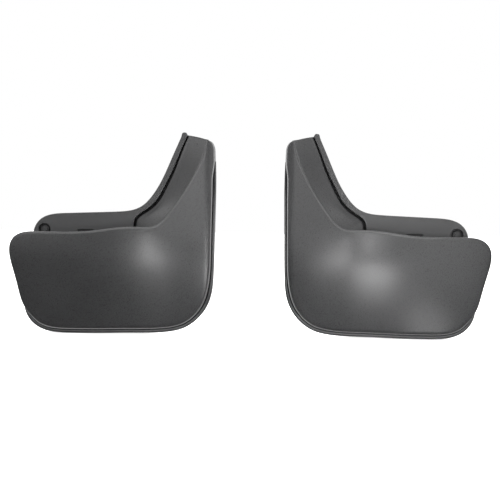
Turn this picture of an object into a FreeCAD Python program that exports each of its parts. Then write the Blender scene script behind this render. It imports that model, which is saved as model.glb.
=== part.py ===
import FreeCAD, Part
import math
import os

from FreeCAD import Vector

# A handed pair of moulded splash guards (mud flaps) for the wheel arches of a car, in millimetres.
# Each flap is drawn once in its own flap frame and placed twice, the left one as a mirror image.
#   u  distance inwards from the outboard edge of the flap, along the row's X
#   v  height above the lowest point of the flap, along the row's Z
#   w  depth behind the foremost point of the flap, along the row's Y

# ---- driving dimensions -------------------------------------------------------------------------
MID_DEPTH = 24.8         # half way between the foremost and the rearmost point of a flap
HALF_GAP = 44.0          # from the plane of symmetry to the outboard edge of each flap
WALL = 3.0               # moulded wall thickness
FLANGE_W = 30.0          # front of the mounting flange and its lip
SHEET_W = 43.0           # front of the deep part of the back panel
RIM_REACH = 5.4          # how far the rim bead stands outside the front shell
RIM_SLIM, RIM_SLIMMING = 2.1, (40.0, 90.0)   # how much slimmer the bead is up the side, and where
RIM_FADE = (196.0, 226.0)  # heights between which the bead runs out into a flush edge
RIM_STEP = 4.5           # how far the front of the rim bead stays behind the moulded face
RIM_END_V = 212.0        # where the bead ends on the arm
RIBS, RIB_T = [(138.0, 148.0), (186.0, 146.0)], 2.0   # ribs behind the flange: place and top
DRAINS, DRAIN_LONG, DRAIN_V, DRAIN_HIGH = [110.0, 160.0], 16.0, 9.0, 5.0   # slots along the bottom
GROOVE_TOP, GROOVE_LOW = 1.4, 3.2   # width of the slot for the vehicle's arch flange
GROOVE_TAPER = (175.0, 250.0)
LEDGE_V = 104.0          # height of the joggle between flange and deep sheet
SKIN_FIT = 0.2           # clearance between nested mouldings
POCKET_LOW_V = 118.0     # where the seat for the arch flange ends, behind the face

END_RIVET = (219.0, 132.0)
MID_RIVET = (122.0, 123.0)
SCREW = (166.0, 114.8)
SPARE_HOLE = (193.0, 117.0)
CLIP_SLOT = (157.5, 174.5, 121.0, 127.0)   # window for the spring nut: u low, u high, v low, v high
CLIP_REST = (156.0, 176.0, 121.0, 132.4)   # shallow rest around it
CLIP_REST_DEEP = 1.2
SPARE_HOLE_R = 3.0
SEAM_SCREWS = [(22.0, 176.0), (18.0, 92.0), (72.0, 20.0), (196.0, 18.0)]
BOSS_R, SEAM_R, SEAM_DEEP = 4.5, 1.6, 14.0
SEAM_HOLE_R, SEAM_HEAD_R, SEAM_HEAD_T, SEAM_HEAD_ROUND = 1.9, 3.6, 2.2, 1.3
SEAM_CROSS = (4.3, 0.9)   # length and width of the cross recess

CUP_R, CUP_DEEP, CUP_WALL = 7.6, 6.0, 2.0
RIVET_HEAD_R, RIVET_HEAD_T, RIVET_RIM_T = 7.0, 2.8, 1.2
RIVET_HOLE_R = 4.1
DOME_FOOT_R, DOME_TOP_R = 6.4, 5.0
SHANK_R, SHANK_LEN, SHANK_TAPER, SHANK_NOSE = 3.9, 12.5, 1.5, 3.0
COLLAR, LEG_R = (2.3, 6.0), 3.7   # unslit collar along the shank, and the legs beyond it
SHANK_SLIT = 1.1
PIN_R, PIN_BORE_R, PIN_LEN = 2.2, 2.4, 15.5
PIN_HEAD_R, PIN_HEAD_T, PIN_HEAD_ROUND = 3.6, 1.3, 0.9

NUT_SHEET, NUT_WIDTH, NUT_LEG, NUT_SHORT, NUT_COLLAR = 0.8, 13.0, 15.5, 2.2, 2.6
NUT_THREAD_R, NUT_CLEAR_R = 2.45, 3.2
NUT_COLLAR_WALL, NUT_COLLAR_FLARE = 0.9, 0.7
SCREW_R, SCREW_LEN, SCREW_TIP = 2.4, 13.5, 3.0
SCREW_HEX, SCREW_HEX_T, SCREW_FLANGE_R, SCREW_FLANGE_T = 8.0, 4.0, 5.6, 1.0
SCREW_SLOT = (5.0, 1.2, 1.6)
WASHER_R, WASHER_HOLE_R, WASHER_T = 6.5, 2.7, 1.2

# ---- outlines, as points of smooth curves in u, v -----------------------------------------------
RIM = [(1.2, 238), (0, 205), (0.4, 140), (1.5, 76), (6.0, 44), (18.6, 22.5), (38, 8.3), (62, 2.9),
       (110, 1.4), (150, 0.3), (180, 0.0), (201, 0.6), (219, 4.4), (233, 13.5), (241, 27), (244, 44)]
INNER_SIDE = (242.2, 76)
SHELL_TURN_U = 232.0
SHEET_INSET = 1.2
FLANGE_END = [(234, 127), (230.5, 137.5), (222.5, 146.5), (209, 151.7), (190, 153.4)]
ARCH_EDGE = [(190, 153.4), (150, 155), (122, 156.3), (104, 159), (92, 165), (81.5, 176), (70, 194.3),
             (57, 223.2), (45.6, 249.5)]
GROOVE = [(35.6, 254.3), (43.3, 236.2), (53.5, 209.7), (63.8, 188), (75, 168.8), (87, 158), (96, 152),
          (100.8, 147), (102.6, 139), (103.4, 125), (103.8, LEDGE_V)]
GROOVE_SEAT = 10         # how many of the slot's points the arch seat runs along
SEAT_MARKS = [(0.06, 0.5), (0.44, 0.2), (0.66, 0.3)]   # ejector-pin marks: along the seat, and across it
MARK_R, MARK_PROUD = 1.4, 0.4
LIP_TIP = [(43.9, 254.6), (42.9, 257.2), (41.0, 257.9), (38.6, 257.8)]
ARM_CORNER = (4.8, 245.6)
LEDGE_END = (239.1, LEDGE_V)
FLANGE_SIDE = [(236.8, 116)]
SKIN_EDGE = [(10.6, 249.0), (15.2, 230), (23.6, 209.5), (35.2, 188), (46.9, 169.4), (59.2, 152),
             (68, 142.6), (77, 138), (90, 137), (105, 137.1), (122, 135.9), (140, 133.4), (160, 130.9),
             (185, 129.7), (225, 129.9), (243, 128.4), (253.5, 123), (259, 114.5), (260.2, 104), (257, 87),
             (250.3, 62), (241.6, 34)]
FACE_SPAN = (-18.0, 282.0, 12.0)
SEAT_EDGE = [(10.6, 249.0), (15.2, 230), (23.6, 209.5), (35.2, 188), (46.9, 169.4), (59.2, 152),
             (70, 135), (80, POCKET_LOW_V)]

# ---- the moulded face ---------------------------------------------------------------------------
CREST = 0.93             # depth that the crest keeps behind the foremost plane
CROWN_U, CROWN_R = 130.0, 1150.0   # crown of the panel across its width
TURN, TURN_U, TURN_V, TURN_LEAN = 0.17, 84.0, 128.0, 0.16   # how far the outboard part is turned back
TURN_ROUND, TURN_SPREAD = 13.0, 0.30
LEAN, LEAN_V, LEAN_ROUND = 0.13, 98.0, 20.0   # how far the foot leans back, below what height
ROLL_WIDTH, ROLL_LOW, ROLL_HIGH, ROLL_FROM, ROLL_TO = 14.0, 2.0, 4.0, 120.0, 225.0
SEAT_BACK = 32.0         # depth of the arch seat where it meets the slot


def smooth(x, low, high):
    t = max(0.0, min(1.0, (x - low) / (high - low)))
    return t * t * (3 - 2 * t)


def face_depth(u, v):
    """Depth of the moulded outer face: crowned, turned back outboard, leaning at the foot."""
    crown = (u - CROWN_U) ** 2 / (2 * CROWN_R)
    d = TURN_U + TURN_LEAN * (v - TURN_V) - u
    round_off = TURN_ROUND + TURN_SPREAD * max(0.0, TURN_V - v)
    turn = TURN * (d + math.hypot(d, round_off)) / 2
    lean = LEAN * (LEAN_V - v + math.hypot(LEAN_V - v, LEAN_ROUND)) / 2
    rise = ROLL_LOW + (ROLL_HIGH - ROLL_LOW) * smooth(v, ROLL_FROM, ROLL_TO)
    roll = rise * max(0.0, 1 - u / ROLL_WIDTH) ** 2
    return CREST + crown + turn + lean + roll


# ---- small helpers ------------------------------------------------------------------------------
def spot(point, w=0.0):
    """A flap-frame point as a vector: u along X, w along Y and v along Z."""
    return Vector(point[0], w, point[1])


def curve(points, depths=None):
    """One smooth edge through the points, each at its own depth where depths are given."""
    depths = depths or [0.0] * len(points)
    spline = Part.BSplineCurve()
    spline.interpolate([spot(p, w) for p, w in zip(points, depths)])
    return spline.toShape()


def outline(*paths):
    """A closed flat wire. Each path runs on from the one before: two points are a line, more a curve."""
    edges = []
    for k, path in enumerate(paths):
        last = paths[(k + 1) % len(paths)][0]
        points = [*path, last]
        if len(points) > 2:
            edges.append(curve(points))
        else:
            edges.append(Part.makeLine(spot(points[0]), spot(points[1])))
    return Part.Wire(edges)


def prism(wire, w_low, w_high):
    """The flat outline as a solid from depth w_low to depth w_high."""
    face = Part.Face(wire)
    face.translate(Vector(0, w_low, 0))
    return face.extrude(Vector(0, w_high - w_low, 0))


def shifted(points, count, distance):
    """Points of the smooth curve moved sideways by distance(v), positive to the left of its run."""
    edge = curve(points)
    moved = []
    for p in edge.discretize(Number=count):
        t = edge.tangentAt(edge.Curve.parameter(p))
        gap = distance(p.z)
        moved.append((p.x - gap * t.z, p.z + gap * t.x))
    return moved


def strip(points, count, near, far, w_low, w_high):
    """A wall that follows the curve, between two sideways distances from it."""
    one = shifted(points, count, near)
    two = shifted(points, count, far)
    return prism(outline(one[:-1], [one[-1]], two[:0:-1], [two[0]]), w_low, w_high)


def cylinder(centre, radius, w_low, w_high):
    return Part.makeCylinder(radius, w_high - w_low, spot(centre, w_low), Vector(0, 1, 0))


def cone(centre, r_low, r_high, w_low, w_high):
    return Part.makeCone(r_low, r_high, w_high - w_low, spot(centre, w_low), Vector(0, 1, 0))


def box(u0, u1, w0, w1, v0, v1):
    return Part.makeBox(u1 - u0, w1 - w0, v1 - v0, Vector(u0, w0, v0))


def behind_face(push):
    """Everything more than push behind the moulded face."""
    low, high, step = FACE_SPAN
    count = round((high - low) / step)
    at = [low + (high - low) * i / count for i in range(count + 1)]
    surface = Part.BSplineSurface()
    surface.interpolate([[spot((u, v), face_depth(u, v) + push) for v in at] for u in at])
    return surface.toShape().extrude(Vector(0, 2 * SHEET_W, 0))


def groove_half(v):
    return (GROOVE_LOW + (GROOVE_TOP - GROOVE_LOW) * smooth(v, *GROOVE_TAPER)) / 2


def rim_reach(v):
    """How far the bead stands outside the front shell: full at the foot, slim up the side, then gone."""
    return (RIM_REACH - RIM_SLIM * smooth(v, *RIM_SLIMMING)) * (1 - smooth(v, *RIM_FADE))


def rim_inset(v):
    return rim_reach(v) + SKIN_FIT


# ---- front shell --------------------------------------------------------------------------------
def skin_side(inset):
    """The shell's closed side, down its outboard edge and along the bottom to the inboard corner."""
    side = shifted(RIM, 60, lambda v: rim_inset(v) + inset)
    return [p for p in side if p[0] < SHELL_TURN_U - inset]


def skin_prism():
    side = skin_side(0)
    edge = [side[-1], *SKIN_EDGE[:0:-1]]
    return prism(outline(side[:-1], edge, [SKIN_EDGE[0], ARM_CORNER]), -WALL, SHEET_W)


def cavity_prism():
    """The hollow of the shell: open to the top and the inboard side."""
    side = skin_side(WALL)
    far = FACE_SPAN[1]
    top = (ARM_CORNER[0] + 3 * WALL, SKIN_EDGE[0][1] - WALL)
    turn = (ARM_CORNER[0] + 0.9 * WALL, ARM_CORNER[1] - 0.7 * WALL)
    return prism(outline(side[:-1], [side[-1]], [(far, side[-1][1])], [(far, far)], [(top[0], far)],
                         [top, turn]), -WALL, SHEET_W + WALL)


def arch_seat():
    """The ramp from the face back to the slot that takes the vehicle's arch flange."""
    front = shifted(SEAT_EDGE, 24, lambda v: -WALL / 2)
    back = shifted(GROOVE[:GROOVE_SEAT], 24, lambda v: -groove_half(v) - WALL / 2)
    front_edge = curve(front, [face_depth(u, v) + 0.4 * WALL for u, v in front])
    back_edge = curve(back, [SEAT_BACK] * len(back))
    seat = Part.makeRuledSurface(front_edge, back_edge).Faces[0]
    return [seat.extrude(Vector(0, 1.2 * WALL, 0)), *[seat_mark(seat, *at) for at in SEAT_MARKS]]


def seat_mark(seat, along, across):
    """A round ejector-pin mark standing a little proud of the arch seat."""
    low_u, high_u, low_v, high_v = seat.ParameterRange
    at = (low_u + along * (high_u - low_u), low_v + across * (high_v - low_v))
    out = seat.normalAt(*at)
    if out.y > 0:
        out = -out
    start = seat.valueAt(*at) - out * WALL / 2
    return Part.makeCylinder(MARK_R, WALL / 2 + MARK_PROUD, start, out)


def arm_cap():
    """The wall that closes the top of the arm."""
    a = (SKIN_EDGE[0][0] - WALL, SKIN_EDGE[0][1] - 0.7 * WALL)
    b = shifted(GROOVE, 24, lambda v: -groove_half(v))[0]
    front = [spot(a, face_depth(*a) + 0.5 * WALL), spot(b, SEAT_BACK)]
    corners = [*front, spot(b, SHEET_W), spot(a, SHEET_W), front[0]]
    return Part.Face(Part.makePolygon(corners)).extrude(Vector(0, 0, -WALL))


def front_shell():
    shell = skin_prism().common(behind_face(0)).cut(cavity_prism().common(behind_face(WALL)))
    slot_wall = strip(GROOVE[:GROOVE_SEAT], 24, lambda v: -groove_half(v), lambda v: -groove_half(v) - WALL,
                      SEAT_BACK - 0.2, SHEET_W)
    solids = [*arch_seat(), slot_wall, arm_cap()]
    for at in SEAM_SCREWS:
        solids.append(cylinder(at, BOSS_R, face_depth(*at) + WALL / 2, SHEET_W))
    shell = shell.fuse(solids)
    for at in SEAM_SCREWS:
        shell = shell.cut(cylinder(at, SEAM_R + SKIN_FIT, SHEET_W - SEAM_DEEP, SHEET_W + WALL))
    return shell.removeSplitter()


# ---- back panel ---------------------------------------------------------------------------------
def flange():
    """The mounting flange with its long lip beside the slot."""
    slot_side = shifted(GROOVE, 40, lambda v: groove_half(v) + WALL / 2)
    tip = [ARCH_EDGE[-1], *LIP_TIP]
    return prism(outline([*slot_side[:-1]], [slot_side[-1]], [LEDGE_END, *FLANGE_SIDE], FLANGE_END[:-1],
                         ARCH_EDGE[:-1], tip), FLANGE_W, FLANGE_W + WALL)


def deep_sheet():
    """The deep part that closes the hollow from behind, out to the rim."""
    side = shifted(RIM, 60, lambda v: SHEET_INSET)
    slot_side = shifted(GROOVE, 40, lambda v: groove_half(v) + WALL / 2)
    ledge = (LEDGE_END[0], LEDGE_V + WALL / 2)
    corner = (slot_side[-1][0], LEDGE_V + WALL / 2)
    return prism(outline(side[:-1], [side[-1], INNER_SIDE], [ledge], [corner, *slot_side[-2:0:-1]],
                         [slot_side[0]], [SKIN_EDGE[0], ARM_CORNER]), SHEET_W, SHEET_W + WALL)


def rim_bead():
    """The raised bead that stands outside the front shell along the side and the bottom."""
    outer = shifted(RIM, 60, lambda v: 0.0)
    inner = shifted(RIM, 60, rim_reach)
    outer = [p for p in outer if p[1] < RIM_END_V or p[0] > RIM_REACH * 2]
    inner = [p for p in inner if p[1] < RIM_END_V or p[0] > RIM_REACH * 3]
    bead = prism(outline(outer[:-1], [outer[-1]], inner[:0:-1], [inner[0]]), 0, SHEET_W + WALL)
    return bead.common(behind_face(RIM_STEP))


def ribs():
    """Webs that stiffen the flange against the joggle."""
    return [box(u - RIB_T / 2, u + RIB_T / 2, FLANGE_W + WALL / 2, SHEET_W + WALL / 2,
                LEDGE_V + WALL / 2, top) for u, top in RIBS]


def panel_cuts():
    """Rivet seats, screw holes, spring-nut window and drain slots."""
    cuts = [cylinder(END_RIVET, CUP_R, FLANGE_W - WALL, FLANGE_W + CUP_DEEP),
            cylinder(END_RIVET, RIVET_HOLE_R, FLANGE_W, SHEET_W),
            cylinder(MID_RIVET, RIVET_HOLE_R, FLANGE_W - WALL, SHEET_W),
            cylinder(SPARE_HOLE, SPARE_HOLE_R, FLANGE_W - WALL, SHEET_W),
            cylinder(SCREW, NUT_CLEAR_R, FLANGE_W - WALL, SHEET_W),
            box(CLIP_SLOT[0], CLIP_SLOT[1], FLANGE_W - WALL, SHEET_W, CLIP_SLOT[2], CLIP_SLOT[3]),
            box(CLIP_REST[0], CLIP_REST[1], FLANGE_W - WALL, FLANGE_W + CLIP_REST_DEEP,
                CLIP_REST[2], CLIP_REST[3])]
    for at in SEAM_SCREWS:
        cuts.append(cylinder(at, SEAM_HOLE_R, SHEET_W - WALL, SHEET_W + 2 * WALL))
    for u in DRAINS:
        cuts.append(box(u - DRAIN_LONG / 2, u + DRAIN_LONG / 2, SHEET_W - WALL, SHEET_W + 2 * WALL,
                        DRAIN_V, DRAIN_V + DRAIN_HIGH))
    return cuts


def back_panel():
    slot_wall = strip(GROOVE, 40, lambda v: groove_half(v) + WALL, groove_half, FLANGE_W, SHEET_W + WALL)
    ledge = box(GROOVE[-1][0] + GROOVE_LOW / 2, LEDGE_END[0], FLANGE_W + WALL / 2, SHEET_W + WALL,
                LEDGE_V, LEDGE_V + WALL)
    cup = cylinder(END_RIVET, CUP_R + CUP_WALL, FLANGE_W, FLANGE_W + CUP_DEEP + CUP_WALL)
    panel = flange().fuse([deep_sheet(), rim_bead(), slot_wall, ledge, cup, *ribs()])
    return panel.cut(panel_cuts()).removeSplitter()


# ---- fasteners ----------------------------------------------------------------------------------
def rod(radius, start, end):
    """A round bar along +Y from start to end, on the axis of a fastener drawn at the origin."""
    return Part.makeCylinder(radius, end - start, Vector(0, start, 0), Vector(0, 1, 0))


def taper(r_start, r_end, start, end):
    return Part.makeCone(r_start, r_end, end - start, Vector(0, start, 0), Vector(0, 1, 0))


def aimed(shape, centre, seat_w, way):
    """Turns a fastener drawn along +Y to point way (+1 rearwards, -1 forwards), then seats it."""
    if way < 0:
        shape.rotate(Vector(0, 0, 0), Vector(0, 0, 1), 180)
    shape.translate(spot(centre, seat_w))
    return shape


def rivet_body(centre, seat_w, way):
    """A split push rivet: dished head on the seat, round collar, then four legs and a tapered nose."""
    neck = SHANK_LEN - SHANK_NOSE
    body = rod(RIVET_HEAD_R, -RIVET_RIM_T, 0).fuse([
        taper(DOME_TOP_R, DOME_FOOT_R, -RIVET_HEAD_T, -RIVET_RIM_T),
        rod(SHANK_R, *COLLAR),
        rod(LEG_R, 0, neck),
        taper(LEG_R, LEG_R - SHANK_TAPER, neck, SHANK_LEN)])
    bore = rod(PIN_BORE_R, -RIVET_HEAD_T, SHANK_LEN)
    slits = [box(-SHANK_R, SHANK_R, COLLAR[1], SHANK_LEN, -SHANK_SLIT / 2, SHANK_SLIT / 2),
             box(-SHANK_SLIT / 2, SHANK_SLIT / 2, COLLAR[1], SHANK_LEN, -SHANK_R, SHANK_R)]
    return aimed(body.cut([bore, *slits]).removeSplitter(), centre, seat_w, way)


def rivet_pin(centre, seat_w, way):
    """The expanding pin of a push rivet, pressed home."""
    under = -RIVET_HEAD_T - SKIN_FIT
    head = rod(PIN_HEAD_R, under - PIN_HEAD_T, under)
    front = [e for e in head.Edges if e.BoundBox.YMax < under - PIN_HEAD_T / 2]
    head = head.makeFillet(PIN_HEAD_ROUND, front)
    start = under - PIN_HEAD_T / 2
    neck = start + PIN_LEN - PIN_R
    pin = head.fuse([rod(PIN_R, start, neck), taper(PIN_R, PIN_R / 3, neck, neck + PIN_R)])
    return aimed(pin.removeSplitter(), centre, seat_w, way)


def spring_nut():
    """A folded steel spring nut that grips the flange below the clip window."""
    u, v = SCREW
    fold = CLIP_SLOT[2]
    low = fold - NUT_LEG
    top = fold + NUT_SHEET
    side = (u - NUT_WIDTH / 2, u + NUT_WIDTH / 2)
    front = box(*side, FLANGE_W - NUT_SHEET, FLANGE_W, low, top)
    rear = box(*side, FLANGE_W + WALL, FLANGE_W + WALL + NUT_SHEET, low + NUT_SHORT, top)
    bend = box(*side, FLANGE_W - NUT_SHEET, FLANGE_W + WALL + NUT_SHEET, fold, top)
    mouth = NUT_THREAD_R + NUT_COLLAR_WALL
    collar = cone(SCREW, mouth, mouth + NUT_COLLAR_FLARE, FLANGE_W - NUT_COLLAR, FLANGE_W - NUT_SHEET / 2)
    holes = [cylinder(SCREW, NUT_THREAD_R, FLANGE_W - 2 * NUT_COLLAR, FLANGE_W + WALL / 2),
             cylinder(SCREW, NUT_CLEAR_R, FLANGE_W + WALL / 2, FLANGE_W + 2 * WALL)]
    return front.fuse([rear, bend, collar]).cut(holes).removeSplitter()


def washer():
    seat = FLANGE_W + WALL + NUT_SHEET
    ring = cylinder(SCREW, WASHER_R, seat, seat + WASHER_T)
    return ring.cut(cylinder(SCREW, WASHER_HOLE_R, seat - WASHER_T, seat + 2 * WASHER_T))


def flange_screw():
    """Hexagon-headed sheet screw driven forwards through washer, flange and spring nut."""
    u, v = SCREW
    seat = FLANGE_W + WALL + NUT_SHEET + WASHER_T
    top = seat + SCREW_FLANGE_T + SCREW_HEX_T
    long, wide, deep = SCREW_SLOT
    radius = SCREW_HEX / math.sqrt(3)
    turns = [math.radians(60 * k) for k in range(7)]
    hexagon = Part.makePolygon([spot((u + radius * math.cos(a), v + radius * math.sin(a))) for a in turns])
    screw = cylinder(SCREW, SCREW_FLANGE_R, seat, seat + SCREW_FLANGE_T).fuse([
        prism(hexagon, seat + SCREW_FLANGE_T / 2, top),
        cylinder(SCREW, SCREW_R, seat - SCREW_LEN + SCREW_TIP, seat),
        cone(SCREW, SCREW_R / 4, SCREW_R, seat - SCREW_LEN, seat - SCREW_LEN + SCREW_TIP)])
    slot = box(u - long / 2, u + long / 2, top - deep, top + deep, v - wide / 2, v + wide / 2)
    return screw.cut(slot).removeSplitter()


def seam_screw(at):
    """A pan-headed screw from behind that holds a boss of the front shell to the deep sheet."""
    seat = SHEET_W + WALL
    top = seat + SEAM_HEAD_T
    head = cylinder(at, SEAM_HEAD_R, seat, top)
    rear = [e for e in head.Edges if e.BoundBox.YMin > seat + SEAM_HEAD_T / 2]
    head = head.makeFillet(SEAM_HEAD_ROUND, rear)
    shank = cylinder(at, SEAM_R, seat - SEAM_DEEP, seat + SEAM_HEAD_T / 4)
    long, wide = SEAM_CROSS[0] / 2, SEAM_CROSS[1] / 2
    cross = [box(at[0] - a, at[0] + a, seat + SEAM_HEAD_T / 2, top + SEAM_HEAD_T, at[1] - b, at[1] + b)
             for a, b in ((long, wide), (wide, long))]
    return head.fuse(shank).cut(cross).removeSplitter()


# ---- the pair -----------------------------------------------------------------------------------
def flap_pieces():
    cup_floor = FLANGE_W + CUP_DEEP
    flange_rear = FLANGE_W + WALL
    return {
        "front_shell": front_shell(),
        "back_panel": back_panel(),
        "end_rivet_body": rivet_body(END_RIVET, cup_floor, 1),
        "end_rivet_pin": rivet_pin(END_RIVET, cup_floor, 1),
        "mid_rivet_body": rivet_body(MID_RIVET, flange_rear, -1),
        "mid_rivet_pin": rivet_pin(MID_RIVET, flange_rear, -1),
        "spring_nut": spring_nut(),
        "flange_washer": washer(),
        "flange_screw": flange_screw(),
        "seam_screws": Part.makeCompound([seam_screw(at) for at in SEAM_SCREWS]),
    }


def main():
    os.makedirs("parts", exist_ok=True)
    for name, piece in flap_pieces().items():
        right = piece.translated(Vector(HALF_GAP, -MID_DEPTH, 0))
        right.exportStep("parts/right_" + name + ".step")
        left = right.mirror(Vector(0, 0, 0), Vector(1, 0, 0))
        left.exportStep("parts/left_" + name + ".step")


main()
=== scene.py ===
import math

import bmesh
import bpy
import numpy as np
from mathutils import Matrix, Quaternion, Vector
from mathutils.geometry import delaunay_2d_cdt


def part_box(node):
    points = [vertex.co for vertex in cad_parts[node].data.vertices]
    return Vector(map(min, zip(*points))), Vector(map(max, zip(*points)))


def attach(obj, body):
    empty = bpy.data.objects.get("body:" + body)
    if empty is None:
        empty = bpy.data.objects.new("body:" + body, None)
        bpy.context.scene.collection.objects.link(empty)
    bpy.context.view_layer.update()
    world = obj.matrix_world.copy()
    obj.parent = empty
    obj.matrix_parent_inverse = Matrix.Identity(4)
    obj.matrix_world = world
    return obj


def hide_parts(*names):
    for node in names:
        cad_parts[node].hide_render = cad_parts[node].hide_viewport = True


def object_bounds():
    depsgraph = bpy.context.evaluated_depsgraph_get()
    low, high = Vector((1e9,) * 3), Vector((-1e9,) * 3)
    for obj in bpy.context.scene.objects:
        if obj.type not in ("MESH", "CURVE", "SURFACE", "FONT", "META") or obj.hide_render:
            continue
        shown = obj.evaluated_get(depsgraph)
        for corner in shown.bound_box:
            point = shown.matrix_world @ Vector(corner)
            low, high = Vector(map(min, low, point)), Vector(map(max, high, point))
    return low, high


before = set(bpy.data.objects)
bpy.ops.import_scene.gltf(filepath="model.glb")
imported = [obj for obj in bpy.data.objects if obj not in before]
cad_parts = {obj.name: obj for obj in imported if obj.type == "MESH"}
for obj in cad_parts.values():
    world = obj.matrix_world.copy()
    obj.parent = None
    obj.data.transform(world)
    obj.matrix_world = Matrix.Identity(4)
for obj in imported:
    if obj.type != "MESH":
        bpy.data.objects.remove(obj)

CAD_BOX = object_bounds()

# A pair of moulded splash guards. Each flap is drawn in its own frame, in millimetres:
#   u  inwards from its outboard edge, v  up from its lowest point, w  back from its foremost point.

# ---- sizes shared with the CAD ------------------------------------------------------------------
WALL = 3.0
FLANGE_W, SHEET_W, SEAT_BACK = 30.0, 43.0, 32.0      # fronts of the flange and rear sheet; seat's back
LEDGE_V, POCKET_LOW_V = 104.0, 118.0      # the ledge below the flange, and the arch seat's low end

# the bead outside the face: its reach and how much of it is lost over which heights, where it fades out on
# the arm, how far it is set back from the face and where it ends
RIM_REACH, RIM_SLIM, RIM_SLIMMING, RIM_FADE = 5.4, 2.1, (40.0, 90.0), (196.0, 226.0)
RIM_STEP, RIM_END_V = 4.5, 223.0
SKIN_FIT, SHEET_INSET = 0.2, 1.2          # gaps from face to bead and from sheet to rim
SHELL_TURN_U = 232.0                      # where the closed side ends
GROOVE_TOP, GROOVE_LOW, GROOVE_TAPER = 1.4, 3.2, (175.0, 250.0)      # widths, and the heights between them

# fasteners and holes, at (u, v) or over (u0, u1, v0, v1)
END_RIVET, MID_RIVET, SCREW = (219.0, 132.0), (122.0, 123.0), (166.0, 114.8)
SPARE_HOLE, SPARE_HOLE_R = (193.0, 117.0), 3.0
CLIP_SLOT = (157.5, 174.5, 121.0, 127.0)
CLIP_REST, CLIP_REST_DEEP = (156.0, 176.0, 121.0, 132.4), 1.2
CUP_R, CUP_DEEP, CUP_WALL, RIVET_HOLE_R, NUT_CLEAR_R = 7.6, 6.0, 2.0, 4.1, 3.2
SEAM_SCREWS = [(22.0, 176.0), (18.0, 92.0), (72.0, 20.0), (196.0, 18.0)]
BOSS_R, SEAM_R, SEAM_HOLE_R = 4.5, 1.6, 1.9
RIBS, RIB_T = [(138.0, 148.0), (186.0, 146.0)], 2.0      # each rib's place across and its top
DRAINS, DRAIN_LONG, DRAIN_V, DRAIN_HIGH = [110.0, 160.0], 16.0, 9.0, 5.0
WASHER_MID_W = 34.4      # middle depth of the flange washer

# Outlines, as points of smooth curves in u and v. The rim is the bead's outer edge, from the arm's tip down
# round the foot to the inner side.
RIM = [(1.2, 238), (0, 205), (0.4, 140), (1.5, 76), (6.0, 44), (18.6, 22.5), (38, 8.3), (62, 2.9),
       (110, 1.4), (150, 0.3), (180, 0.0), (201, 0.6), (219, 4.4), (233, 13.5), (241, 27), (244, 44)]
FLANGE_END = [(234, 127), (230.5, 137.5), (222.5, 146.5), (209, 151.7), (190, 153.4)]
ARCH_EDGE = [(190, 153.4), (150, 155), (122, 156.3), (104, 159), (92, 165), (81.5, 176), (70, 194.3),
             (57, 223.2), (45.6, 249.5)]
GROOVE = [(35.6, 254.3), (43.3, 236.2), (53.5, 209.7), (63.8, 188), (75, 168.8), (87, 158), (96, 152),
          (100.8, 147), (102.6, 139), (103.4, 125), (103.8, LEDGE_V)]
GROOVE_SEAT = 10         # how many points of the groove run along the arch seat
LIP_TIP = [(43.9, 254.6), (42.9, 257.2), (41.0, 257.9), (38.6, 257.8)]
ARM_CORNER, INNER_SIDE, LEDGE_END, FLANGE_SIDE = (4.8, 245.6), (242.2, 76), (239.1, LEDGE_V), (236.8, 116)
SKIN_EDGE = [(10.6, 249.0), (15.2, 230), (23.6, 209.5), (35.2, 188), (46.9, 169.4), (59.2, 152),
             (68, 142.6), (77, 138), (90, 137), (105, 137.1), (122, 135.9), (140, 133.4), (160, 130.9),
             (185, 129.7), (225, 129.9), (243, 128.4), (253.5, 123), (259, 114.5), (260.2, 104), (257, 87),
             (250.3, 62), (241.6, 34)]
SEAT_EDGE = SKIN_EDGE[:6] + [(70, 135), (80, POCKET_LOW_V)]
SEAT_MARKS = [(0.06, 0.5), (0.44, 0.2), (0.66, 0.3)]      # ejector-pin marks, as shares along and across
MARK_R, MARK_PROUD = 1.4, 0.4

# ---- the moulded face ---------------------------------------------------------------------------
CREST, CROWN_U, CROWN_R = 0.93, 130.0, 1150.0     # foremost depth, and the crown across the width
TURN, TURN_U, TURN_V, TURN_LEAN = 0.17, 84.0, 128.0, 0.16      # how far the outboard part turns back, where
TURN_ROUND, TURN_SPREAD = 13.0, 0.30              # how round that turn is, and how it widens downwards
LEAN, LEAN_V, LEAN_ROUND = 0.13, 98.0, 20.0       # how far the foot leans back, and below what height
ROLL_WIDTH, ROLL_LOW, ROLL_HIGH = 14.0, 2.0, 4.0  # the outboard edge's roll, and its depth low and high up
ROLL_FROM, ROLL_TO = 120.0, 225.0


def smooth(x, low, high):
    """A soft step from 0 at low to 1 at high."""
    t = np.clip((np.asarray(x, float) - low) / (high - low), 0, 1)
    return t * t * (3 - 2 * t)


def face_depth(p):
    """Depth of the moulded outer face at points p = [[u, v], ...]."""
    u, v = np.asarray(p, float)[..., 0], np.asarray(p, float)[..., 1]
    crown = (u - CROWN_U) ** 2 / (2 * CROWN_R)
    d = TURN_U + TURN_LEAN * (v - TURN_V) - u
    round_off = TURN_ROUND + TURN_SPREAD * np.maximum(0, TURN_V - v)
    turn = TURN * (d + np.hypot(d, round_off)) / 2
    lean = LEAN * (LEAN_V - v + np.hypot(LEAN_V - v, LEAN_ROUND)) / 2
    rise = ROLL_LOW + (ROLL_HIGH - ROLL_LOW) * smooth(v, ROLL_FROM, ROLL_TO)
    roll = rise * np.maximum(0, 1 - u / ROLL_WIDTH) ** 2
    return CREST + crown + turn + lean + roll


# ---- curves -------------------------------------------------------------------------------------
SPLINE_SAMPLES = 40      # fine samples per point of a spline, before it is spaced evenly
SAME_SPOT = 0.05         # points of a loop nearer than this are one point


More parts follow.
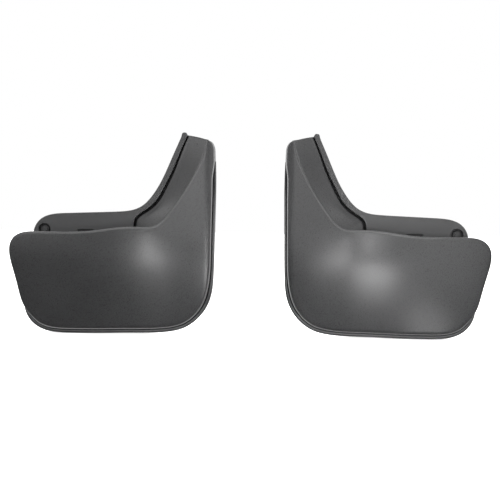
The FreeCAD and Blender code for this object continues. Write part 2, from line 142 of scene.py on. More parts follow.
def curve(points, step=2.0):
    """Evenly spaced points of a natural cubic spline through the points, by chord length."""
    p = np.asarray(points, float)
    if len(p) == 2:
        n = max(2, int(np.linalg.norm(p[1] - p[0]) / step) + 1)
        return p[0] + (p[1] - p[0]) * np.linspace(0, 1, n)[:, None]
    t = np.concatenate([[0], np.cumsum(np.linalg.norm(np.diff(p, axis=0), axis=1))])
    n, h = len(p), np.diff(t)
    a, b = np.eye(n), np.zeros((n, 2))
    for i in range(1, n - 1):
        a[i, i - 1:i + 2] = h[i - 1], 2 * (h[i - 1] + h[i]), h[i]
        b[i] = 6 * ((p[i + 1] - p[i]) / h[i] - (p[i] - p[i - 1]) / h[i - 1])
    m = np.linalg.solve(a, b)
    fine = np.linspace(0, t[-1], SPLINE_SAMPLES * n)
    k = np.clip(np.searchsorted(t, fine) - 1, 0, n - 2)
    x, hk = (fine - t[k])[:, None], h[k][:, None]
    q = (p[k] + x * ((p[k + 1] - p[k]) / hk - hk * (2 * m[k] + m[k + 1]) / 6) + x ** 2 * m[k] / 2
         + x ** 3 * (m[k + 1] - m[k]) / (6 * hk))
    return spaced(q, step)


def spaced(q, step):
    """The polyline resampled at about the given step, ends kept."""
    length = np.linalg.norm(np.diff(q, axis=0), axis=1).sum()
    return counted(q, max(2, int(round(length / step)) + 1))


def counted(q, count):
    """The polyline resampled to exactly count points, evenly spaced."""
    s = np.concatenate([[0], np.cumsum(np.linalg.norm(np.diff(q, axis=0), axis=1))])
    at = np.linspace(0, s[-1], count)
    return np.stack([np.interp(at, s, q[:, 0]), np.interp(at, s, q[:, 1])], 1)


def left_of(q, closed=False):
    """Unit normals to the left of a polyline's run."""
    if closed:
        d = np.roll(q, -1, 0) - np.roll(q, 1, 0)
    else:
        d = np.gradient(q, axis=0)
    d = d / np.linalg.norm(d, axis=1)[:, None]
    return np.stack([-d[:, 1], d[:, 0]], 1)


def shifted(q, distance):
    """The polyline moved to its left by a distance, which may depend on height."""
    gap = distance(q[:, 1]) if callable(distance) else distance
    return q + left_of(q) * np.broadcast_to(gap, len(q))[:, None]


def join(*paths):
    """One closed loop of the paths, with no point twice."""
    made = []
    for p in np.concatenate([np.asarray(q, float).reshape(-1, 2) for q in paths]):
        if not made or np.hypot(*(p - made[-1])) > SAME_SPOT:
            made.append(p)
    if np.hypot(*(made[0] - made[-1])) < SAME_SPOT:
        made.pop()
    return np.array(made)


def around(values, reach):
    """A loop's values with its last few put before them and its first few after them."""
    return np.concatenate([values[-reach:], values, values[:reach]])


def bell(reach):
    """Weights that average a value with reach neighbours on each side."""
    weights = np.hanning(2 * reach + 3)[1:-1]
    return weights / weights.sum()


def softened(loop, radius, step):
    """A closed loop with its sharp corners rounded, by averaging each point over its neighbourhood."""
    ring = spaced(np.concatenate([loop, loop[:1]]), step / 2)[:-1]
    reach = max(1, int(radius / (step / 2)))
    mean = np.zeros_like(ring)
    for k, weight in zip(range(-reach, reach + 1), bell(reach)):
        mean += weight * np.roll(ring, k, 0)
    return spaced(np.concatenate([mean, mean[:1]]), step)[:-1]


def circle(centre, radius, count=48):
    """A round loop, anticlockwise."""
    a = np.linspace(0, 2 * math.pi, count, endpoint=False)
    return np.stack([centre[0] + radius * np.cos(a), centre[1] + radius * np.sin(a)], 1)


def rectangle(u0, u1, v0, v1, radius=0.0, count=5):
    """A rectangle with rounded corners, anticlockwise."""
    made = []
    for cu, cv, start in ((u1, v1, 0), (u0, v1, 90), (u0, v0, 180), (u1, v0, 270)):
        for k in range(count):
            a = math.radians(start + 90 * k / (count - 1))
            su, sv = (1 if cu == u1 else -1), (1 if cv == v1 else -1)
            made.append((cu - radius * (su - math.cos(a)), cv - radius * (sv - math.sin(a))))
    return np.array(made)


def rim_reach(v):
    """How far the bead reaches in from the rim at a height."""
    return (RIM_REACH - RIM_SLIM * smooth(v, *RIM_SLIMMING)) * (1 - smooth(v, *RIM_FADE))


def groove_half(v):
    """Half the arch groove's width at a height."""
    return (GROOVE_LOW + (GROOVE_TOP - GROOVE_LOW) * smooth(v, *GROOVE_TAPER)) / 2


# ---- mesh making --------------------------------------------------------------------------------
def at_depth(q, w):
    """Points (u, v) as points (u, w, v), all at one depth or each at its own."""
    return np.stack([q[:, 0], np.broadcast_to(w, len(q)), q[:, 1]], 1)


def staggered(loops, spacing):
    """A staggered grid of points inside the first loop, outside the others and clear of all of them."""
    low, high = loops[0].min(0), loops[0].max(0)
    gu, gv = np.meshgrid(np.arange(low[0], high[0], spacing), np.arange(low[1], high[1], spacing * 0.9))
    gu[1::2] += spacing / 2
    grid = np.stack([gu.ravel(), gv.ravel()], 1)
    clear = 0.6 * spacing
    keep = inside(grid, loops[0]) & (gap_to(grid, loops[0]) > clear)
    for hole in loops[1:]:
        keep &= ~inside(grid, hole) & (gap_to(grid, hole) > clear)
    return grid[keep]


class Mould:
    """Collects the closed surfaces of one flap piece and makes an object of them on each side."""

    def __init__(self):
        self.points, self.faces = [], []

    def add(self, points, faces):
        base = len(self.points)
        self.points += [tuple(p) for p in points]
        self.faces += [tuple(base + i for i in f) for f in faces]

    def cap(self, ring):
        """Closes the end of a loft with one face."""
        self.add(ring, [tuple(range(len(ring)))])

    def skin(self, loops, depth, spacing=None, flip=False):
        """Fills the first loop, less the others, with a surface at depth(points)."""
        loops = [np.array(loop) for loop in loops]
        pts, edges = [], []
        for loop in loops:
            base = len(pts)
            pts += list(loop)
            edges += [(base + i, base + (i + 1) % len(loop)) for i in range(len(loop))]
        if spacing:
            pts += list(staggered(loops, spacing))
        co, _, tris, *_ = delaunay_2d_cdt([Vector(p) for p in pts], edges, [], 0, 1e-6)
        flat = np.array([(c.x, c.y) for c in co])
        centre = np.array([flat[list(f)].mean(0) for f in tris])
        keep = inside(centre, loops[0])
        for hole in loops[1:]:
            keep &= ~inside(centre, hole)
        faces = [tuple(f[::-1]) if flip else tuple(f) for f, kept in zip(tris, keep) if kept]
        self.add(np.stack([flat[:, 0], depth(flat), flat[:, 1]], 1), faces)

    def loft(self, rings, closed=True):
        """Quads between closed rings of points; a closed loft also joins the last ring to the first."""
        rings = np.array(rings)
        n, m = rings.shape[:2]
        faces = []
        for i in range(n if closed else n - 1):
            for j in range(m):
                a, b = i * m + j, i * m + (j + 1) % m
                c, d = ((i + 1) % n) * m + (j + 1) % m, ((i + 1) % n) * m + j
                faces.append((a, b, c, d))
        self.add(rings.reshape(-1, 3), faces)

    def plate(self, loops, w0, w1, edge):
        """A flat plate between depths w0 and w1 with all its edges rounded."""
        flat = 1.3 * edge     # a supporting ring just inside the rounding keeps the flats flat
        turns = np.linspace(0, math.pi / 2, 5)
        turned = [(edge * (1 - math.sin(a)), edge * (1 - math.cos(a))) for a in turns]
        profile = [(flat, w0)] + [(inset, w0 + deep) for inset, deep in turned]
        profile += [(inset, w1 - deep) for inset, deep in turned[::-1]] + [(flat, w1)]
        inner = []
        for k, loop in enumerate(loops):
            loop = np.array(loop)
            # the outer loop runs anticlockwise and the holes clockwise
            if (area(loop) > 0) == (k > 0):
                loop = loop[::-1]
            normal = left_of(loop, closed=True)
            self.loft([at_depth(loop + normal * inset, w) for inset, w in profile], closed=False)
            inner.append(loop + normal * flat)
        self.skin(inner, lambda p: np.full(len(p), w0))
        self.skin(inner, lambda p: np.full(len(p), w1), flip=True)

    def block(self, u0, u1, w0, w1, v0, v1, edge):
        """A box with all its edges rounded."""
        self.plate([rectangle(u0, u1, v0, v1, edge * 1.5)], w0, w1, edge)

    def lathe(self, centre, profile, count=48):
        """A closed profile of (radius, depth) turned about the axis through centre."""
        angles = np.linspace(0, 2 * math.pi, count, endpoint=False)
        rings = [[(centre[0] + r * math.cos(a), w, centre[1] + r * math.sin(a)) for r, w in profile]
                 for a in angles]
        self.loft(rings)

    def stud(self, place, run, slope):
        """A round ejector-pin mark, a little proud of the surface spanned by the two directions."""
        run = run / np.linalg.norm(run)
        up = np.cross(run, slope / np.linalg.norm(slope))
        up = up / np.linalg.norm(up)
        up = up if up[1] < 0 else -up
        across = np.cross(up, run)
        angles = np.linspace(0, 2 * math.pi, 32, endpoint=False)
        profile = ((MARK_R, -WALL / 2), (MARK_R, 0.6 * MARK_PROUD), (0.85 * MARK_R, MARK_PROUD),
                   (0.45 * MARK_R, MARK_PROUD))
        rings = [[place + up * rise + r * (run * math.cos(a) + across * math.sin(a)) for a in angles]
                 for r, rise in profile]
        self.loft(rings, closed=False)
        self.cap(rings[0])
        self.cap(rings[-1])

    def build(self, name, side, origin, material):
        """The piece as an object: side is +1 on the right flap and -1 on the left."""
        mesh = bpy.data.meshes.new(name)
        pts = [(side * (origin[0] + u / 1000), origin[1] + w / 1000, origin[2] + v / 1000)
               for u, w, v in self.points]
        mesh.from_pydata(pts, [], self.faces)
        bm = bmesh.new()
        bm.from_mesh(mesh)
        bmesh.ops.remove_doubles(bm, verts=bm.verts, dist=1e-6)
        loose = [v for v in bm.verts if not v.link_faces]
        bmesh.ops.delete(bm, geom=loose, context="VERTS")
        bmesh.ops.recalc_face_normals(bm, faces=bm.faces)
        bm.to_mesh(mesh)
        bm.free()
        mesh.shade_smooth()
        piece = bpy.data.objects.new(name, mesh)
        bpy.context.scene.collection.objects.link(piece)
        mesh.materials.append(material)
        return piece


def area(loop):
    """The area within a closed loop, positive when it runs anticlockwise."""
    x, y = loop[:, 0], loop[:, 1]
    return (x * np.roll(y, -1) - np.roll(x, -1) * y).sum() / 2


def inside(p, loop):
    """Which points lie inside the closed loop."""
    x, y = p[:, 0], p[:, 1]
    odd = np.zeros(len(p), bool)
    for (x0, y0), (x1, y1) in zip(loop, np.roll(loop, -1, 0)):
        if y0 != y1:
            odd ^= ((y0 > y) != (y1 > y)) & (x < (x1 - x0) * (y - y0) / (y1 - y0) + x0)
    return odd


def gap_to(p, loop):
    """Distance from each point to the loop's nearest point."""
    return np.min(np.hypot(p[:, :1] - loop[None, :, 0], p[:, 1:] - loop[None, :, 1]), axis=1)


# ---- front shell --------------------------------------------------------------------------------
EDGE_R, SIDE_R, FREE_R = 3.4, 3.4, 1.2     # roll bands and radii at the shell's edges
BACK_INSET = 5.0                           # how far in from the outline the inner surface starts
OUTLINE_SOFT, OUTLINE_STEP = 3.0, 1.5      # corner rounding and point spacing of the outline
SIDE_NEAR, SIDE_FADE = 1.0, 5              # reach of the closed side, and points over which it fades out
ROLL_ROOM, ROOM_FADE = 0.8, 8              # share of a corner the roll may fill, and points it fades over
FRONT_SPACING, BACK_SPACING = 2.5, 4.0     # point spacing of the outer and inner surfaces
SEAT_POINTS, SEAT_LIP, LIP_START = 160, 1.3, 0.6      # points along the arch seat; its rounded lip


def face_outline():
    """The face's loop, with 1 where it turns back into the closed side and 0 at the free edge."""
    side = shifted(curve(RIM), lambda v: rim_reach(v) + SKIN_FIT)
    side = side[side[:, 0] < SHELL_TURN_U]
    corner = curve([SKIN_EDGE[0], ARM_CORNER, side[0]])
    edge = curve([side[-1], *SKIN_EDGE[:0:-1], SKIN_EDGE[0]])
    loop = softened(join(side, edge, corner), OUTLINE_SOFT, OUTLINE_STEP)
    near = gap_to(loop, np.concatenate([side, corner])) < SIDE_NEAR
    fade = 2 * SIDE_FADE + 1
    wall = np.convolve(around(near.astype(float), SIDE_FADE), np.ones(fade) / fade, "valid")
    if area(loop) < 0:
        loop, wall = loop[::-1], wall[::-1]
    return loop, wall * wall * (3 - 2 * wall)


def edge_profiles():
    """Matched profiles from the face round to the inner surface: the closed side's (inset, depth, share of
    the full depth) and the free edge's (inset, depth)."""
    turns = np.linspace(0, math.pi / 2, 7)
    side = [(SIDE_R * (1 - math.sin(a)), SIDE_R * (1 - math.cos(a)), 0) for a in turns]
    side += [(0, 0, 0.4), (0, 0, 0.8), (0, -0.8, 1), (0.3, -0.2, 1), (0.9, 0, 1), (WALL - 0.9, 0, 1),
             (WALL - 0.3, -0.2, 1), (WALL, -0.8, 1), (WALL, 0, 0.8), (WALL, WALL + 3, 0.1),
             (WALL + 0.1, WALL + 1.2, 0), (WALL + 0.8, WALL + 0.3, 0), (BACK_INSET, WALL, 0)]
    free = [(EDGE_R, 0)]
    free += [(FREE_R * (1 - math.sin(a)), FREE_R * (1 - math.cos(a))) for a in turns[1:]]
    free += [(0, WALL * 0.45), (0, WALL * 0.5), (0, WALL - FREE_R), (0.15, WALL - 0.6), (0.35, WALL - 0.35),
             (0.6, WALL - 0.18), (0.9, WALL - 0.05), (FREE_R, WALL), (2.0, WALL), (2.8, WALL), (3.5, WALL),
             (4.2, WALL), (BACK_INSET, WALL)]
    return side, free


def roll_room(normal):
    """The share of the full roll that fits at each point, which is less at a tight corner."""
    bend = np.linalg.norm(np.roll(normal, -1, 0) - np.roll(normal, 1, 0), axis=1) / (2 * OUTLINE_STEP)
    room = np.minimum(1.0, ROLL_ROOM / np.maximum(bend * BACK_INSET, 1e-6))
    padded = around(room, ROOM_FADE)
    room = np.array([padded[k:k + 2 * ROOM_FADE + 1].min() for k in range(len(room))])
    return np.convolve(around(room, ROOM_FADE), bell(ROOM_FADE), "valid")


def shell_rings():
    """The shell's edge as rings, from the outer surface round to the inner one."""
    loop, wall = face_outline()
    normal = left_of(loop, closed=True)
    room = roll_room(normal)
    rings = []
    for (side_in, side_w, full), (free_in, free_w) in zip(*edge_profiles()):
        inset = (wall * side_in + (1 - wall) * free_in) * room
        q = loop + normal * inset[:, None]
        face = face_depth(q)
        walled = (face + side_w) * (1 - full) + (SHEET_W + side_w) * full
        rings.append(at_depth(q, wall * walled + (1 - wall) * (face + free_w)))
    return rings


def front_shell():
    """The curved face with its closed side, arch seat and screw bosses."""
    shell = Mould()
    rings = shell_rings()
    shell.loft(rings, closed=False)
    shell.skin([rings[0][:, [0, 2]]], face_depth, spacing=FRONT_SPACING)
    shell.skin([rings[-1][:, [0, 2]]], lambda p: face_depth(p) + WALL, spacing=BACK_SPACING, flip=True)
    arch_seat(shell)
    for at in SEAM_SCREWS:
        seam_boss(shell, at)
    return shell


def arch_seat(shell):
    """The ramp from the face back to the arch slot, its rounded lip and the slot's own wall."""
    front = counted(shifted(curve(SEAT_EDGE, 1.0), -WALL / 2), SEAT_POINTS)
    back = counted(shifted(curve(GROOVE[:GROOVE_SEAT], 1.0), lambda v: -groove_half(v)), SEAT_POINTS)
    normal = left_of(back)
    inner = back - normal * WALL
    lip_w = SEAT_BACK - LIP_START
    start = at_depth(front, face_depth(front) + 0.4 * WALL)
    end = at_depth(back - normal * SEAT_LIP, lip_w)
    rings = [start * (1 - t) + end * t for t in np.linspace(0, 1, 10)]
    for a in np.linspace(0, math.pi / 2, 6)[1:]:
        inset, deep = SEAT_LIP * (1 - math.sin(a)), SEAT_LIP * (1 - math.cos(a))
        rings.append(at_depth(back - normal * inset, lip_w + deep))
    rings += [at_depth(back, SHEET_W), at_depth(inner, SHEET_W), at_depth(inner, SEAT_BACK + WALL)]
    below = np.array([0, 1.1 * WALL, 0])
    for t in (0.75, 0.5, 0.25, 0.0):
        rings.append(start * (1 - t) + at_depth(inner, SEAT_BACK) * t + below)
    sections = np.array(rings).transpose(1, 0, 2)
    shell.loft(sections, closed=False)
    shell.cap(sections[0])
    shell.cap(sections[-1])
    seat_marks(shell, start, end)


def seat_marks(shell, start, end):
    """Ejector-pin marks on the ramp between its first and last rings."""
    for along, across in SEAT_MARKS:
        k = int(along * SEAT_POINTS)
        run = (start[k + 1] - start[k - 1]) * (1 - across) + (end[k + 1] - end[k - 1]) * across
        shell.stud(start[k] * (1 - across) + end[k] * across, run, end[k] - start[k])


def seam_boss(shell, at):
    """A hollow boss from the back of the face to the rear sheet, for one seam screw."""
    top = float(face_depth(np.array([at]))[0]) + WALL / 2
    shell.lathe(at, [(SEAM_R + 0.15, top + 6), (SEAM_R + 0.15, SHEET_W - 0.4), (SEAM_R + 0.5, SHEET_W),
                     (BOSS_R - 0.5, SHEET_W), (BOSS_R, SHEET_W - 0.5), (BOSS_R + 0.6, top)], 32)


# ---- back panel ---------------------------------------------------------------------------------
PLATE_EDGE, WALL_EDGE, RIB_EDGE, REST_EDGE = 0.8, 0.7, 0.5, 0.4      # edge roundings
REST_CORNER, DRAIN_CORNER = 1.0, 2.0
SLOT_FIT = 0.08      # how far the slot wall is set back from the slot


def flange_loop():
    """The flange's outline, with the long lip along the arch."""
    slot_side = shifted(curve(GROOVE), groove_half)
    side = curve([LEDGE_END, FLANGE_SIDE, FLANGE_END[0]])
    tip = curve([ARCH_EDGE[-1], *LIP_TIP, slot_side[0]], 0.8)
    return join(slot_side, side, curve(FLANGE_END), curve(ARCH_EDGE), tip)


def flange(panel):
    """The mounting flange with its holes, and the thinned rest with the spring nut's slot."""
    holes = [circle(END_RIVET, CUP_R), circle(MID_RIVET, RIVET_HOLE_R), circle(SPARE_HOLE, SPARE_HOLE_R),
             circle(SCREW, NUT_CLEAR_R), rectangle(*CLIP_REST, REST_CORNER)]
    panel.plate([flange_loop(), *holes], FLANGE_W, FLANGE_W + WALL, PLATE_EDGE)
    u0, u1, v0, v1 = CLIP_REST
    rest = rectangle(u0 - 1, u1 + 1, v0 + 0.1, v1 + 1, REST_CORNER)
    panel.plate([rest, rectangle(*CLIP_SLOT, REST_CORNER)], FLANGE_W + CLIP_REST_DEEP,
                FLANGE_W + WALL - 0.05, REST_EDGE)


def rear_sheet(panel, rim):
    """The deep rear sheet with the seam screws' holes and the drain slots."""
    side = shifted(rim, SHEET_INSET)
    slot = shifted(curve(GROOVE), lambda v: groove_half(v) + WALL / 2)
    low_v = LEDGE_V + WALL / 2
    sheet = join(side, curve([side[-1], INNER_SIDE, (LEDGE_END[0], low_v)]), [(slot[-1][0], low_v)],
                 slot[::-1], curve([slot[0], SKIN_EDGE[0], ARM_CORNER, side[0]]))
    holes = [circle(at, SEAM_HOLE_R, 24) for at in SEAM_SCREWS]
    half = DRAIN_LONG / 2
    holes += [rectangle(u - half, u + half, DRAIN_V, DRAIN_V + DRAIN_HIGH, DRAIN_CORNER) for u in DRAINS]
    panel.plate([sheet, *holes], SHEET_W, SHEET_W + WALL, PLATE_EDGE)


def inner_walls(panel):
    """The arch slot's wall, the ledge below the flange and the ribs behind it."""
    near = shifted(curve(GROOVE), lambda v: groove_half(v) + SLOT_FIT)
    far = shifted(curve(GROOVE), lambda v: groove_half(v) + WALL)
    panel.plate([join(near, far[::-1])], FLANGE_W + 0.9, SHEET_W + WALL - 0.1, WALL_EDGE)
    front = FLANGE_W + WALL / 2
    panel.block(GROOVE[-1][0] + GROOVE_LOW / 2, LEDGE_END[0], front, SHEET_W + WALL, LEDGE_V,
                LEDGE_V + WALL, WALL_EDGE)
    half = RIB_T / 2
    for u, top in RIBS:
        panel.block(u - half, u + half, front, SHEET_W + WALL / 2, LEDGE_V + 1, top, RIB_EDGE)


def rivet_cup(panel):
    """The dished seat of the end rivet."""
    floor_w, r, wide = FLANGE_W + CUP_DEEP, CUP_R, CUP_R + CUP_WALL
    panel.lathe(END_RIVET, [(r + 0.5, FLANGE_W + 0.8), (r, FLANGE_W + 1.4), (r, floor_w - 0.6),
                            (r - 0.6, floor_w), (RIVET_HOLE_R, floor_w), (RIVET_HOLE_R, floor_w + CUP_WALL),
                            (wide - 0.6, floor_w + CUP_WALL), (wide, floor_w + CUP_WALL - 0.6),
                            (wide + 0.3, FLANGE_W + 1)])


def rim_bead(panel, rim):
    """The rounded bead outside the front shell; it thins out and ends on the arm."""
    kept = rim[:, 1] < RIM_END_V
    inner, normal = rim[kept], left_of(rim)[kept]
    width = rim_reach(inner[:, 1])
    fronts = face_depth(inner + normal * width[:, None] / 2) + RIM_STEP
    back = SHEET_W + WALL
    foot = ((1, SHEET_W + WALL / 2), (0.8, back), (0.2, back), (0, back - 0.7))
    sections = []
    for p, n, reach, front in zip(inner, normal, width, fronts):
        ring = []
        for a in np.linspace(0, math.pi, 11):
            q = p + n * reach / 2 * (1 - math.cos(a))
            ring.append((q[0], front + reach * 0.45 * (1 - math.sin(a)), q[1]))
        for share, w in foot:
            q = p + n * reach * share
            ring.append((q[0], w, q[1]))
        sections.append(ring)
    panel.loft(sections, closed=False)
    panel.cap(sections[0])
    panel.cap(sections[-1])


def back_panel():
    """The mounting flange, the deep rear sheet and the bead, in one moulding."""
    panel = Mould()
    rim = curve(RIM)
    flange(panel)
    rear_sheet(panel, rim)
    inner_walls(panel)
    rivet_cup(panel)
    rim_bead(panel, rim)
    return panel


# ---- materials ----------------------------------------------------------------------------------
GLOSS_DRIFT, GRAIN_DEEP = 0.04, 0.0003      # how much the roughness varies; the grain's height in metres
GLOSSY, SHADED_SPECULAR = 0.5, 0.08                    # specular level of outer faces, and the lower one that paints shade on deep inner walls


def shader_node(tree, kind, **values):
    """A new node with the given input values; an underscore in a name stands for a space."""
    made = tree.nodes.new("ShaderNode" + kind)
    for name, value in values.items():
        made.inputs[name.replace("_", " ")].default_value = value
    return made


def maths(tree, operation, *values):
    """The result of a maths node, each of whose values is a number or a socket."""
    made = tree.nodes.new("ShaderNodeMath")
    made.operation = operation
    for socket, value in zip(made.inputs, values):
        if isinstance(value, float):
            socket.default_value = value
        else:
            tree.links.new(value, socket)
    return made.outputs[0]


def ramp(tree, stops):
    """A colour ramp through stops of (position, colour)."""
    made = tree.nodes.new("ShaderNodeValToRGB")
    elements = made.color_ramp.elements
    for element, (position, colour) in zip(elements, (stops[0], stops[-1])):
        element.position = position
        element.color = (*colour, 1)
    for position, colour in stops[1:-1]:
        elements.new(position).color = (*colour, 1)
    return made


def moulded(name, colour, rough, grain=0.0008, bump=0.07, spread=0.14):
    """Moulded polypropylene: fine spark-eroded grain, slight colour and gloss drift."""
    material = bpy.data.materials.new(name)
    material.use_nodes = True
    tree = material.node_tree
    link, shader = tree.links.new, tree.nodes["Principled BSDF"]
    where = tree.nodes.new("ShaderNodeTexCoord")
    cells = shader_node(tree, "TexNoise", Scale=1 / grain, Detail=3, Roughness=0.7)
    drift = shader_node(tree, "TexNoise", Scale=22, Detail=4)
    for texture in (cells, drift):
        link(where.outputs["Object"], texture.inputs["Vector"])
    half_cells = maths(tree, "MULTIPLY", cells.outputs["Fac"], 0.5)
    mottle = maths(tree, "MULTIPLY_ADD", drift.outputs["Fac"], 0.5, half_cells)
    dark, pale = [c * (1 - spread) for c in colour], [c * (1 + spread) for c in colour]
    tint = ramp(tree, [(0.35, dark), (0.65, pale)])
    link(mottle, tint.inputs["Fac"])
    link(tint.outputs["Color"], shader.inputs["Base Color"])
    gloss = shader_node(tree, "MapRange", From_Min=0.3, From_Max=0.7, To_Min=rough - GLOSS_DRIFT,
                        To_Max=rough + GLOSS_DRIFT)
    link(cells.outputs["Fac"], gloss.inputs["Value"])
    link(gloss.outputs["Result"], shader.inputs["Roughness"])
    relief = shader_node(tree, "Bump", Strength=bump, Distance=GRAIN_DEEP)
    link(cells.outputs["Fac"], relief.inputs["Height"])
    link(relief.outputs["Normal"], shader.inputs["Normal"])
    return material


def shaded_by_depth(material, from_y, to_y):
    """Lets the specular level fall with depth, which darkens the deep slot, rest and pocket walls: painted
    shade in these recesses.
    """
    tree = material.node_tree
    where = tree.nodes.new("ShaderNodeTexCoord")
    axes = tree.nodes.new("ShaderNodeSeparateXYZ")
    fade = shader_node(tree, "MapRange", From_Min=from_y, From_Max=to_y, To_Min=GLOSSY, To_Max=SHADED_SPECULAR)
    tree.links.new(where.outputs["Object"], axes.inputs[0])
    tree.links.new(axes.outputs["Y"], fade.inputs["Value"])
    tree.links.new(fade.outputs["Result"], tree.nodes["Principled BSDF"].inputs["Specular IOR Level"])


def plated(name, colour, rough):
    """Zinc-plated or blackened steel with a faint rolled texture."""
    material = moulded(name, colour, rough, grain=0.0009, bump=0.03, spread=0.18)
    material.node_tree.nodes["Principled BSDF"].inputs["Metallic"].default_value = 1.0
    return material


FACE = moulded("face_moulding", (0.030, 0.030, 0.031), 0.29)
REAR = moulded("rear_moulding", (0.028, 0.028, 0.029), 0.40, grain=0.004, bump=0.01, spread=0.10)
NYLON = moulded("rivet_nylon", (0.016, 0.016, 0.017), 0.34, grain=0.0007, bump=0.02)
ZINC = plated("zinc_plate", (0.60, 0.60, 0.57), 0.34)
DARK_STEEL = plated("black_screw_steel", (0.05, 0.05, 0.052), 0.38)
FACE_SHADE_DEPTHS, REAR_SHADE_DEPTHS = (32.5, 35.0), (30.5, 31.3)      # depths over which the specular level falls, painting shade on the deeper walls
FINISH = {"rivet": NYLON, "spring": ZINC, "flange": ZINC, "seam": DARK_STEEL}

# ---- build both flaps ---------------------------------------------------------------------------
# the flange washer fixes where the flap frame lies in the row
low, high = (Vector(c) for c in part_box("right_flange_washer"))
middle = (low + high) / 2
ORIGIN = (middle.x - SCREW[0] / 1000, middle.y - WASHER_MID_W / 1000, middle.z - SCREW[1] / 1000)
SHELL, PANEL = front_shell(), back_panel()
# painted shade: the deeper walls of each moulding lose their specular level and render darker
for finish, depths in ((FACE, FACE_SHADE_DEPTHS), (REAR, REAR_SHADE_DEPTHS)):
    shaded_by_depth(finish, *(ORIGIN[1] + depth / 1000 for depth in depths))
for hand, side in (("left", -1), ("right", 1)):
    for mould, part, finish, slot_name in ((SHELL, "front_shell", FACE, "black_moulding"),
                                           (PANEL, "back_panel", REAR, "black_moulding_rear")):
        piece = mould.build(hand + "_" + part + "_moulding", side, ORIGIN, finish)
        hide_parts(hand + "_" + part)
        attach(piece, hand + "_flap")

# the fasteners keep the CAD's shapes and get their finishes here
for name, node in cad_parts.items():
    kind = name.split("_", 1)[1]
    for start, finish in FINISH.items():
        if kind.startswith(start) or kind.startswith(("end_" + start, "mid_" + start)):
            node.data.materials.clear()
            node.data.materials.append(finish)


# ---- stage --------------------------------------------------------------------------------------
FLOOR_SPAN, FLOOR_DROP = 12.0, 0.0005
FLOOR_LOOK = {"Base Color": (0.9, 0.9, 0.9, 1), "Roughness": 0.9, "Emission Color": (1, 1, 1, 1),
              "Emission Strength": 0.75}


def pale_floor():
    """A wide, pale plane just below the row, which only the camera sees."""
    material = bpy.data.materials.new("pale_floor")
    material.use_nodes = True
    for name, value in FLOOR_LOOK.items():
        material.node_tree.nodes["Principled BSDF"].inputs[name].default_value = value
    mesh = bpy.data.meshes.new("floor")
    a = FLOOR_SPAN / 2
    mesh.from_pydata([(-a, -a, 0), (a, -a, 0), (a, a, 0), (-a, a, 0)], [], [(0, 1, 2, 3)])
    mesh.materials.append(material)
    made = bpy.data.objects.new("floor", mesh)
    made.location = (0, 0, CAD_BOX[0][2] - FLOOR_DROP)
    made.visible_glossy = False
    made.visible_diffuse = False
    made.visible_shadow = False
    bpy.context.scene.collection.objects.link(made)
    return made


floor = pale_floor()

# ---- camera -------------------------------------------------------------------------------------
CAMERA_AWAY, FRAME_SPAN = 1.58, 0.635      # the camera's distance and the width in view there
SENSOR = 36.0
LOOK_AT = Vector((0.0015, 0.0, 0.1096))
ELEVATION, AZIMUTH, ROLL = math.radians(2.0), math.radians(-2.5), math.radians(0.8)
camera = bpy.data.cameras.new("camera")
camera.sensor_width = SENSOR
camera.lens = SENSOR * CAMERA_AWAY / FRAME_SPAN
eye = bpy.data.objects.new("camera", camera)
direction = Vector((-math.sin(AZIMUTH) * math.cos(ELEVATION), -math.cos(AZIMUTH) * math.cos(ELEVATION),
                    math.sin(ELEVATION)))
eye.location = LOOK_AT + direction * CAMERA_AWAY
eye.rotation_euler = ((-direction).to_track_quat("-Z", "Y") @ Quaternion((0, 0, 1), ROLL)).to_euler()
bpy.context.scene.collection.objects.link(eye)
bpy.context.scene.camera = eye


# ---- light --------------------------------------------------------------------------------------
def softbox(name, place, aim, size, power):
    """A rectangular light facing aim, hidden from the camera."""
    light = bpy.data.lights.new(name, "AREA")
    light.shape = "RECTANGLE"
    light.size, light.size_y = size
    light.energy = power
    obj = bpy.data.objects.new(name, light)
    obj.location = place
    obj.rotation_euler = (Vector(aim) - Vector(place)).to_track_quat("-Z", "Y").to_euler()
    obj.visible_camera = False
    bpy.context.scene.collection.objects.link(obj)


def face_point(side, u, v):
    """A point of a flap's face in the row frame, and the direction it faces."""
    a = np.array([(u, v), (u + 1, v), (u, v + 1)])
    w = face_depth(a)
    place = Vector((side * (ORIGIN[0] + u / 1000), ORIGIN[1] + w[0] / 1000, ORIGIN[2] + v / 1000))
    return place, Vector((side * (w[1] - w[0]), -1, w[2] - w[0])).normalized()


def glint(name, side, u, v, away, size, power):
    """A softbox placed so that the face shows its reflection at u, v to the main camera."""
    place, normal = face_point(side, u, v)
    sight = (place - eye.location).normalized()
    leaving = sight - 2 * sight.dot(normal) * normal
    softbox(name, place + leaving * away, place, size, power)


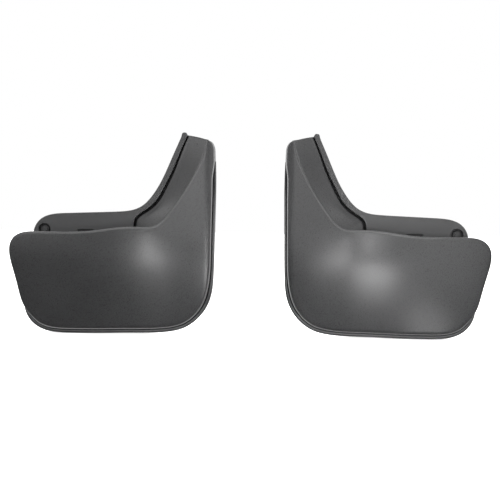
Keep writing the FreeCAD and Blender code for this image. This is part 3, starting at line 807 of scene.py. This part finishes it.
# near softboxes that draw the highlights of each face, then the room's large ones
glint("glint_left", -1, 79, 102, 0.52, (0.19, 0.13), 0.76)
glint("glint_left_arm", -1, 26, 218, 0.8, (0.20, 0.28), 0.5)
glint("glint_right", 1, 114, 82, 0.28, (0.085, 0.06), 0.225)
glint("glint_right_arm", 1, 88, 82, 0.28, (0.05, 0.035), 0.03)
glint("glint_right_top", 1, 106, 124, 0.28, (0.02, 0.05), 0.085)
glint("glint_right_foot", 1, 180, 20, 0.30, (0.08, 0.02), 0.09)
glint("glint_right_panel", 1, 205, 100, 0.40, (0.20, 0.22), 0.25)
softbox("front", (0.0, -2.2, 0.9), (0, 0, 0.12), (1.6, 0.4), 11.0)
softbox("side", (1.7, -0.7, 0.4), (0, 0, 0.12), (0.8, 1.0), 2.2)
softbox("fill", (-0.98, -1.65, 0.60), (0.05, 0, 0.15), (0.4, 1.0), 3.2)

# the room's light, and its levels from straight down to straight up and from the sides to straight behind
ROOM_LIGHT, BEHIND_LIGHT = 1.45, 3.0
ROOM_BY_HEIGHT = [(0.0, 0.04), (0.45, 0.06), (0.54, 0.6), (0.56, 0.8)]
ROOM_BY_DEPTH = [(0.0, 0.0), (0.35, 1.0), (0.60, 1.0), (0.80, 0.2)]


def grey_ramp(tree, stops, value):
    """A ramp of grey levels over a value."""
    made = ramp(tree, [(position, [level] * 3) for position, level in stops])
    tree.links.new(value, made.inputs["Fac"])
    return made.outputs["Color"]


def studio_world():
    """White to the camera; to all else a room, pale above, dark below and brightest aslant behind."""
    world = bpy.data.worlds.new("studio")
    world.use_nodes = True
    tree = world.node_tree
    tree.nodes.clear()
    link = tree.links.new
    where = tree.nodes.new("ShaderNodeTexCoord")
    axes = tree.nodes.new("ShaderNodeSeparateXYZ")
    height = shader_node(tree, "MapRange", From_Min=-1.0, From_Max=1.0)
    link(where.outputs["Generated"], axes.inputs[0])
    link(axes.outputs["Z"], height.inputs["Value"])
    by_height = grey_ramp(tree, ROOM_BY_HEIGHT, height.outputs["Result"])
    by_depth = maths(tree, "MULTIPLY", grey_ramp(tree, ROOM_BY_DEPTH, axes.outputs["Y"]), BEHIND_LIGHT)
    room = shader_node(tree, "Background", Strength=ROOM_LIGHT)
    link(maths(tree, "MAXIMUM", by_height, by_depth), room.inputs["Color"])
    seen = shader_node(tree, "Background", Color=(1, 1, 1, 1))
    rays = tree.nodes.new("ShaderNodeLightPath")
    pick = tree.nodes.new("ShaderNodeMixShader")
    surface = tree.nodes.new("ShaderNodeOutputWorld")
    link(rays.outputs["Is Camera Ray"], pick.inputs["Fac"])
    link(room.outputs[0], pick.inputs[1])
    link(seen.outputs[0], pick.inputs[2])
    link(pick.outputs[0], surface.inputs["Surface"])
    return world


bpy.context.scene.world = studio_world()
bpy.context.scene.view_settings.view_transform = "Standard"
